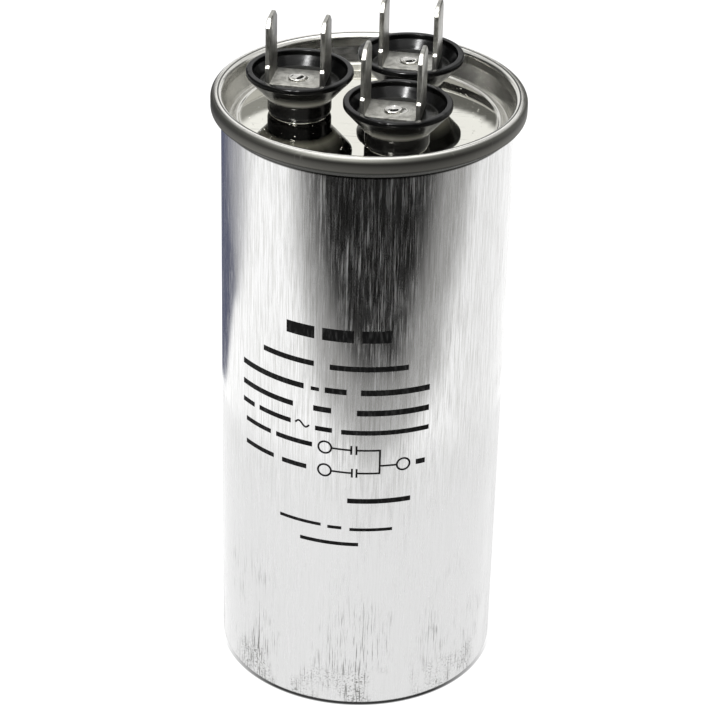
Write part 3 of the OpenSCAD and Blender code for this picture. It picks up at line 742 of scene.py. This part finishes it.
for pole, (x, y) in poleCentres.items():
    seed = poles.index(pole)
    spigotFoot, lipTop = (corner[2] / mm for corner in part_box(pole + "_cup"))
    cupFloor, tipTop = (corner[2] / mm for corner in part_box(pole + "_terminal"))
    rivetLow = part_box(pole + "_rivet")[0][2] / mm
    inner = cup["lip"] - cup["lipWidth"]
    flare = (cup["lip"] - cup["stem"]) / (lipTop - panelTop - cup["lipHeight"] - cup["stemHeight"])
    outline = roundCorners([
        (cup["bore"], spigotFoot, 0),
        (cup["spigot"], spigotFoot, 0.2),
        (cup["spigot"], panelTop, 0),
        (cup["stem"], panelTop, 1),
        (cup["stem"], panelTop + cup["stemHeight"], 0.4),
        (cup["lip"], lipTop - cup["lipHeight"], 0.3),
        (cup["lip"], lipTop, 0.3),
        (inner, lipTop, 0.15),
        (inner, lipTop - cup["lipHeight"], 0.4),
        (inner - flare * (cup["depth"] - cup["lipHeight"]), cupFloor, 0.3),
        (cup["bore"], cupFloor, 0),
    ], closed=True)

    def nicks(r, z, angle):
        bite = 0
        if r > cup["lip"] - 0.8 and z > lipTop - 0.7:
            for k, depth in enumerate(cup["nickDepths"]):
                fromNick = abs(closestAngle(math.degrees(angle) + 100 - 37 * k + 61 * seed))
                bite = max(bite, depth * max(0, 1 - fromNick / cup["nickWidth"]))
        return r - bite * 0.5, z - bite

    wear(revolve(pole + "Cup", outline, mouldedPbt, (x, y), 144, nicks), "moulded_black", pole + "_cup")

    # A strip with both ends folded up; stations along its middle line, each with its half width and thickness
    reach = terminal["span"] / 2 - sheets["strip"] / 2
    bottom = cupFloor + sheets["strip"] / 2
    bladeHalf = terminal["blade"] / 2
    tipHalf = bladeHalf - terminal["chamfer"]
    wide = bladeHalf + terminal["shoulder"]
    shoulderZ = cupFloor + terminal["shoulderHeight"]
    stations = []
    for side in (-1, 1):
        climb = [(Vector((side * reach, z)), Vector((side, 0)), halfWidth, thick) for z, halfWidth, thick in (
            (tipTop, tipHalf, sheets["strip"] - 2 * terminal["tip"]),
            (tipTop - terminal["tipBevel"], tipHalf + terminal["tipBevel"], sheets["strip"]),
            (tipTop - terminal["chamfer"], bladeHalf, sheets["strip"]),
            (shoulderZ + 0.3, bladeHalf, sheets["strip"]),
            (shoulderZ, wide, sheets["strip"]),
        )]
        bendCentre = Vector((side * (reach - terminal["bend"]), bottom + terminal["bend"]))
        for k in range(7):
            angle = math.radians(90 * k / 6)
            out = Vector((side * math.cos(angle), -math.sin(angle)))
            climb.append((bendCentre + out * terminal["bend"], out, wide, sheets["strip"]))
        stations += climb if side < 0 else climb[::-1]
    points = []
    stripTurn = Matrix.Rotation(math.radians(terminal["turn"]), 2)
    for station, out, halfWidth, thick in stations:
        for a, b in ((1, -1), (1, 1), (-1, 1), (-1, -1)):
            cornerPoint = station + out * a * thick / 2
            onStrip = stripTurn @ Vector((cornerPoint.x + terminal["offCentre"][pole], b * halfWidth))
            points.append(Vector((x + onStrip.x, y + onStrip.y, cornerPoint.y)) * mm)
    strip = makePiece(pole + "Terminal", points, squareTube(len(stations)), tinnedBrass, 30, turnOutwards=True)
    edge = strip.modifiers.new("stampedEdge", "BEVEL")
    edge.width = terminal["edge"] * mm
    edge.segments = 2
    edge.limit_method = "ANGLE"
    edge.angle_limit = math.radians(28)
    applied(strip)
    strip.data.shade_smooth()
    strip.data.set_sharp_from_angle(angle=math.radians(24))
    wear(strip, "tinned_brass", pole + "_terminal")

    # A hollow rivet, spun over a little forward of its shank, with a tongue of metal left across its dark bore
    spunTop = stripTop + rivet["height"]
    shiftX, shiftY = rivet["shift"][pole]
    rivetOutline = roundCorners([
        (0, rivetLow, 0),
        (rivet["head"], rivetLow, 0.3),
        (rivet["head"], rivetLow + rivet["headHeight"], 0),
        (rivet["shank"], rivetLow + rivet["headHeight"], 0),
        (rivet["shank"], stripTop, 0),
        (rivet["spun"], stripTop, 0),
        (rivet["spun"], spunTop, 0.15),
        (rivet["hollow"], spunTop, 0.1),
        (rivet["hollow"], stripTop + 0.03, 0.02),
        (0, stripTop + 0.03, 0),
    ], closed=True)

    def spunOver(r, z, angle):
        # The spun edge is torn, so its height and width wander
        if z < stripTop + 0.1:
            return r, z
        wander = math.sin(2 * angle + seed) + 0.6 * math.sin(5 * angle + 2 * seed)
        return r + 0.07 * wander, z + 0.05 * wander

    spun = revolve(pole + "Rivet", rivetOutline, platedSteel, (x, y), 96, spunOver, 40)
    # The faces inside the bore take the near-black painted shade
    spun.data.materials.append(boreShade)
    for face in spun.data.polygons:
        inBore = math.hypot(face.center.x / mm - x, face.center.y / mm - y) < rivet["hollow"] + 0.01
        if inBore and stripTop - sheets["strip"] < face.center.z / mm < spunTop - 0.08:
            face.material_index = 1
    for vertex in spun.data.vertices:
        if vertex.co.z > (stripTop + 0.01) * mm:
            vertex.co += Vector((shiftX, shiftY, 0)) * mm
    wear(spun, "rivet_steel", pole + "_rivet")

    tongueTurn = Matrix.Rotation(math.radians(rivet["turn"][pole]), 2)
    points = []
    for k in range(9):
        t = k / 4 - 1  # from one end of the tongue to the other
        for across, lift in ((-1, -0.12), (1, -0.12), (1, 0.12), (-1, 0.12)):
            half = rivet["tongue"] * (0.4 - 0.14 * t)
            onTongue = tongueTurn @ Vector((t * (rivet["hollow"] + 0.15), across * half))
            height = spunTop + 0.1 * math.cos(2.2 * t + 0.5) + 0.12 * across * (1 - abs(t)) + lift
            points.append(Vector((x + shiftX + onTongue.x, y + shiftY + onTongue.y, height)) * mm)
    wear(makePiece(pole + "Tongue", points, squareTube(9), platedSteel, 30), "rivet_steel")

    # Under the stem's rounded foot the edge of the hole is turned up around it
    start = cup["stem"] - collar["inner"]
    foot = [(start, panelTop - 0.1), (start + collar["width"], panelTop - 0.1)]
    for k in range(7):
        angle = math.radians(30 * k)
        radius = start + collar["width"] / 2 * (1 + math.cos(angle))
        foot.append((radius, panelTop + collar["height"] * math.sin(angle)))
    wear(revolve(pole + "Collar", foot, tinplate, (x, y), 96), "tinned_lid")
print("terminals ready")


# Print: plain bars where the words stand, and the wiring symbol; places are millimetres around the can and up

ink = {"radius": can["radius"], "thickness": 0.025}
wordBars = [
    # left end, right end, middle height above the base, bar height
    (-13.5, -8.3, 76.4, 2.3), (-6.9, -1.5, 76.4, 2.3), (-0.1, 4.9, 76.4, 2.3),
    (-18.4, -8.3, 70.4, 1.0), (-5.5, 8.0, 70.2, 1.0),
    (-23.8, -10.1, 65.6, 1.05), (-8.8, -7.3, 65.5, 0.7), (-6.3, -2.5, 65.6, 1.05), (-0.1, 12.0, 65.6, 1.1),
    (-23.8, -12.1, 61.6, 1.0), (-8.3, -5.1, 61.7, 1.05), (-0.7, 12.0, 61.6, 1.1),
    (-23.8, -20.7, 58.0, 0.9), (-19.4, -12.5, 58.1, 0.9), (-7.9, -4.9, 57.8, 0.9), (-3.3, 12.1, 57.7, 0.9),
    (-22.9, -16.7, 54.4, 0.85), (-15.5, -8.4, 54.4, 0.9),
    (-22.9, -16.0, 49.8, 0.85), (-14.2, -9.4, 49.7, 0.9),
    (9.9, 11.6, 51.1, 1.0),
    (-2.0, 9.1, 43.9, 0.95),
    (-14.5, -6.6, 38.4, 0.6), (-5.4, -2.9, 38.2, 0.6), (-1.5, 6.0, 38.0, 0.6),
    (-10.4, 0.1, 34.9, 0.7),
]


def geometryTree(name, sizes):
    tree = bpy.data.node_groups.new(name, "GeometryNodeTree")
    for way in ("INPUT", "OUTPUT"):
        tree.interface.new_socket("Geometry", in_out=way, socket_type="NodeSocketGeometry")
    for label, (kind, value) in sizes.items():
        socket = tree.interface.new_socket(label, in_out="INPUT", socket_type="NodeSocket" + kind)
        if value is not None:
            socket.default_value = value
    return tree, addNode(tree, "NodeGroupInput").outputs


def growWith(piece, tree, values):
    # Gives the tree its sizes and keeps what it makes
    modifier = piece.modifiers.new("tree", "NODES")
    modifier.node_group = tree
    for item in tree.interface.items_tree:
        if item.in_out == "INPUT" and item.name in values:
            modifier[item.identifier] = values[item.name]
    return applied(piece)


barTree, sizes = geometryTree("printedBars", {
    "Can Radius": ("Float", 0.025), "Front": ("Float", 0.0), "Ink Thickness": ("Float", 0.00002),
    "Ink": ("Material", None),
})
grid = addNode(barTree, "GeometryNodeMeshGrid", {"Size X": 1.0, "Size Y": 1.0, "Vertices X": 25, "Vertices Y": 3})
barSize = addNode(barTree, "CombineXYZ", {"Z": 1.0})
for axis, name in (("X", "barLength"), ("Y", "barHeight")):
    addNode(barTree, "GeometryNodeInputNamedAttribute", {"Name": name}, to=barSize.inputs[axis], data_type="FLOAT")
bars = addNode(barTree, "GeometryNodeInstanceOnPoints", {
    "Points": sizes["Geometry"], "Instance": grid, "Scale": barSize,
})
flatBars = addNode(barTree, "GeometryNodeRealizeInstances", {"Geometry": bars})
thick = addNode(barTree, "GeometryNodeExtrudeMesh", {
    "Mesh": flatBars, "Offset Scale": sizes["Ink Thickness"], "Individual": False,
})
both = addNode(barTree, "GeometryNodeJoinGeometry", {"Geometry": thick})
addNode(barTree, "GeometryNodeFlipFaces", {"Mesh": flatBars}, to=both.inputs["Geometry"])
welded = addNode(barTree, "GeometryNodeMergeByDistance", {"Geometry": both, "Distance": 0.000002})
# Each point turns round the can by its distance across, and stands off by its height in the ink
spot = addNode(barTree, "SeparateXYZ", {"Vector": addNode(barTree, "GeometryNodeInputPosition")})
arc = addNode(barTree, "Math", {0: spot.outputs["X"], 1: sizes["Can Radius"]}, operation="DIVIDE")
heading = addNode(barTree, "Math", {0: arc, 1: sizes["Front"]}, operation="ADD")
inkRadius = addNode(barTree, "Math", {0: spot.outputs["Z"], 1: sizes["Can Radius"]}, operation="ADD")
wrapped = addNode(barTree, "CombineXYZ", {"Z": spot.outputs["Y"]})
for axis, ratio in (("X", "COSINE"), ("Y", "SINE")):
    part = addNode(barTree, "Math", {0: heading}, operation=ratio)
    addNode(barTree, "Math", {0: part, 1: inkRadius}, to=wrapped.inputs[axis], operation="MULTIPLY")
placed = addNode(barTree, "GeometryNodeSetPosition", {"Geometry": welded, "Position": wrapped})
real = addNode(barTree, "GeometryNodeRealizeInstances", {"Geometry": placed})
inked = addNode(barTree, "GeometryNodeSetMaterial", {"Geometry": real, "Material": sizes["Ink"]})
addNode(barTree, "NodeGroupOutput", {"Geometry": inked})

middles = [((left + right) / 2 * mm, height * mm, 0) for left, right, height, tall in wordBars]
printedBars = makePiece("printedBars", middles, [], printInk)
for name, values in (
    ("barLength", [(right - left) * mm for left, right, height, tall in wordBars]),
    ("barHeight", [tall * mm for left, right, height, tall in wordBars]),
):
    layer = printedBars.data.attributes.new(name, "FLOAT", "POINT")
    layer.data.foreach_set("value", values)
growWith(printedBars, barTree, {
    "Can Radius": ink["radius"] * mm, "Front": front, "Ink Thickness": ink["thickness"] * mm, "Ink": printInk,
})
wear(printedBars, "moulded_black")

# Wiring symbol: two capacitors from two open circles to a common one, and the wave for alternating current
symbol = {"pen": 0.34, "ring": 1.15, "plate": 1.75, "upper": 54.2, "lower": 49.6, "common": 51.1}


def circlePath(s, z):
    angles = [t * math.pi / 18 for t in range(37)]
    return [(s + symbol["ring"] * math.cos(angle), z + symbol["ring"] * math.sin(angle)) for angle in angles]


def platePath(s, z):
    return [(s, z - symbol["plate"] / 2), (s, z + symbol["plate"] / 2)]


upper, lower, common = symbol["upper"], symbol["lower"], symbol["common"]
strokes = [
    circlePath(-6.1, upper + 0.1),
    circlePath(-6.1, lower + 0.1),
    circlePath(7.6, common),
    [(-4.95, upper + 0.1), (-1.5, upper)],
    [(-4.95, lower + 0.1), (-1.3, lower)],
    platePath(-1.5, upper),
    platePath(-0.6, upper),
    platePath(-1.3, lower),
    platePath(-0.5, lower),
    [(-0.6, upper), (3.45, upper), (3.45, lower), (-0.5, lower)],
    [(3.45, common), (6.45, common)],
    [(-11.6 + 0.1 * t, 58.1 + 0.5 * math.sin(t * math.pi / 13)) for t in range(27)],
]
points, faces = [], []
for stroke in strokes:
    path = []
    for (s0, z0), (s1, z1) in zip(stroke, stroke[1:]):
        parts = max(1, math.ceil(math.hypot(s1 - s0, z1 - z0) / 0.6))  # short enough to follow the can
        path += [Vector((s0 + (s1 - s0) * k / parts, z0 + (z1 - z0) * k / parts)) for k in range(parts)]
    path.append(Vector(stroke[-1]))
    sides = [offsetPath(path, symbol["pen"] / 2), offsetPath(path, -symbol["pen"] / 2)]
    first = len(points)
    for pair in zip(*sides):
        for s, z in pair:
            points.append(onCircle(ink["radius"] + ink["thickness"], front + s / ink["radius"], z))
    for k in range(len(path) - 1):
        n = first + 2 * k
        faces.append((n, n + 1, n + 3, n + 2))
wiringSymbol = makePiece("wiringSymbol", points, faces, printInk)
body = wiringSymbol.modifiers.new("ink", "SOLIDIFY")
body.thickness = ink["thickness"] * mm * 1.4  # its underside lies in the can's wall
body.offset = -1
applied(wiringSymbol)
wear(wiringSymbol, "moulded_black")
print("print ready")


# Droplets of fluid on the lid's panel near the bead, and grains of pale dust over the whole panel

# Radii and sizes in millimetres, density for each square millimetre
droplets = {
    "inner": 17.7, "outer": 20.2, "density": 0.55, "smallest": 0.05, "largest": 0.17, "flatness": 0.55, "seed": 7,
}
dust = {"radius": 20, "density": 0.07, "smallest": 0.03, "largest": 0.11, "flatness": 0.8, "seed": 3}

dropTree, sizes = geometryTree("droplets", {
    "Density": ("Float", 1.0), "Smallest": ("Float", 0.0001), "Largest": ("Float", 0.0003),
    "Flatness": ("Float", 0.5), "Seed": ("Int", 1), "Finish": ("Material", None),
})
scatter = addNode(dropTree, "GeometryNodeDistributePointsOnFaces", {
    "Mesh": sizes["Geometry"], "Density": sizes["Density"], "Seed": sizes["Seed"],
})
chance = addNode(dropTree, "FunctionNodeRandomValue", {2: 0.0, 3: 1.0, "Seed": sizes["Seed"]}, data_type="FLOAT")
rare = addNode(dropTree, "Math", {0: chance.outputs[1], 1: 3.0}, operation="POWER")  # most are small
radius = addNode(dropTree, "MapRange", {"Value": rare, "To Min": sizes["Smallest"], "To Max": sizes["Largest"]})
height = addNode(dropTree, "Math", {0: radius, 1: sizes["Flatness"]}, operation="MULTIPLY")
dropSize = addNode(dropTree, "CombineXYZ", {"X": radius, "Y": radius, "Z": height})
drop = addNode(dropTree, "GeometryNodeMeshIcoSphere", {"Radius": 1.0, "Subdivisions": 2})
drops = addNode(dropTree, "GeometryNodeInstanceOnPoints", {"Points": scatter, "Instance": drop, "Scale": dropSize})
real = addNode(dropTree, "GeometryNodeRealizeInstances", {"Geometry": drops})
shiny = addNode(dropTree, "GeometryNodeSetMaterial", {"Geometry": real, "Material": sizes["Finish"]})
addNode(dropTree, "NodeGroupOutput", {"Geometry": shiny})


def sprinkle(name, points, faces, grains, material):
    # Scatters drops over the faces, which the tree leaves out of its result
    piece = makePiece(name, points, faces, material)
    growWith(piece, dropTree, {
        "Density": grains["density"] / mm ** 2, "Flatness": grains["flatness"], "Seed": grains["seed"],
        "Smallest": grains["smallest"] * mm, "Largest": grains["largest"] * mm, "Finish": material,
    })
    piece.data.shade_smooth()
    wear(piece, "tinned_lid")


angles = [math.radians(5 * k) for k in range(72)]  # around the lid
points = [onCircle(droplets[edge], angle, panelTop) for angle in angles for edge in ("inner", "outer")]
faces = [(2 * k, 2 * k + 1, 2 * n + 1, 2 * n) for k, n in ((k, (k + 1) % 72) for k in range(72))]
sprinkle("lidDroplets", points, faces, droplets, tinplate)

paleDust, surface = newMaterial("paleDust", "#e8e7e2", 0.9)
points = [onCircle(0, 0, panelTop)] + [onCircle(dust["radius"], angle, panelTop) for angle in angles]
sprinkle("lidDust", points, [(0, 1 + k, 1 + (k + 1) % 72) for k in range(72)], dust, paleDust)
print("droplets and dust ready")

low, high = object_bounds()
